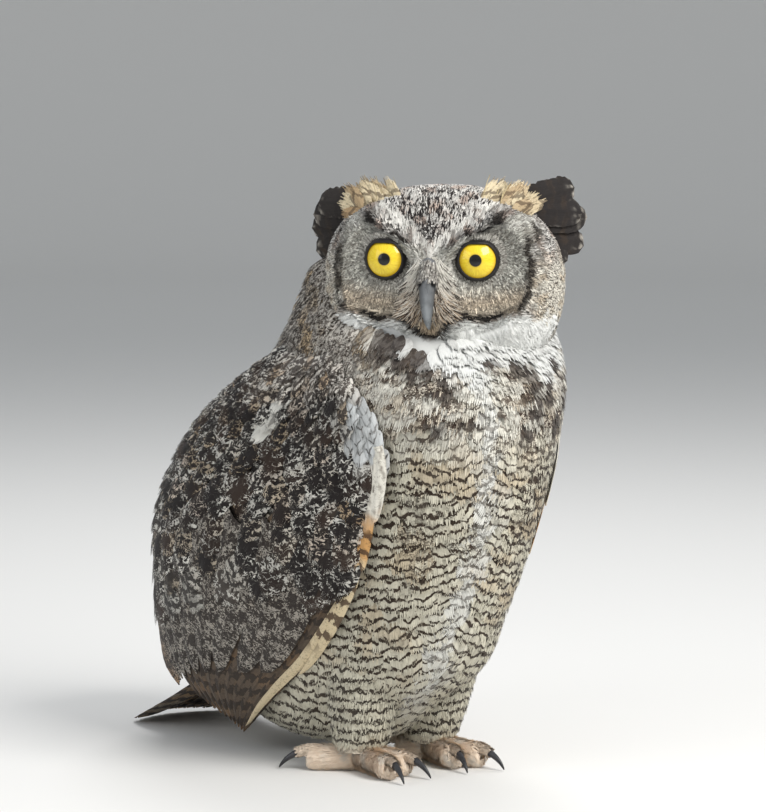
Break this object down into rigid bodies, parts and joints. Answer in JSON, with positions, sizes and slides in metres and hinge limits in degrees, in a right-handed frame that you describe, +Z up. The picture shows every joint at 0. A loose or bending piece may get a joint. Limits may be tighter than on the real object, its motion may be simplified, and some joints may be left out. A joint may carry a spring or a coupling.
{
  "type": "great horned owl",
  "caption": "Perched great horned owl with folded wings and ear tufts, head turned to its right, a still life-size model.",
  "frame": {"origin": "on the floor, under the middle of the bird's length and width", "axes": "+X to the owl's left, -Y the way its breast faces, +Z up"},
  "size_m": [0.1916, 0.3961, 0.3962],
  "materials": {
    "breast": "soft barred feathers",
    "mantle": "soft mottled feathers",
    "face": "fine feathers",
    "tuft": "dark feathers",
    "leg": "short downy feathers",
    "horn": "satin horn",
    "iris": "wet gloss"
  },
  "bodies": {
    "root": {"head": "face", "eye_left": "iris", "eye_right": "iris", "bill_upper": "horn", "bill_lower": "horn", "ear_tuft_left": "tuft", "ear_tuft_right": "tuft", "neck": "breast", "trunk": "breast", "wing_left": "mantle", "wing_right": "mantle", "tail": "mantle", "leg_left": "leg", "foot_left": "leg", "claw_left_inner": "horn", "claw_left_middle": "horn", "claw_left_outer": "horn", "claw_left_hind": "horn", "leg_right": "leg", "foot_right": "leg", "claw_right_inner": "horn", "claw_right_middle": "horn", "claw_right_outer": "horn", "claw_right_hind": "horn"}
  },
  "joints": []
}
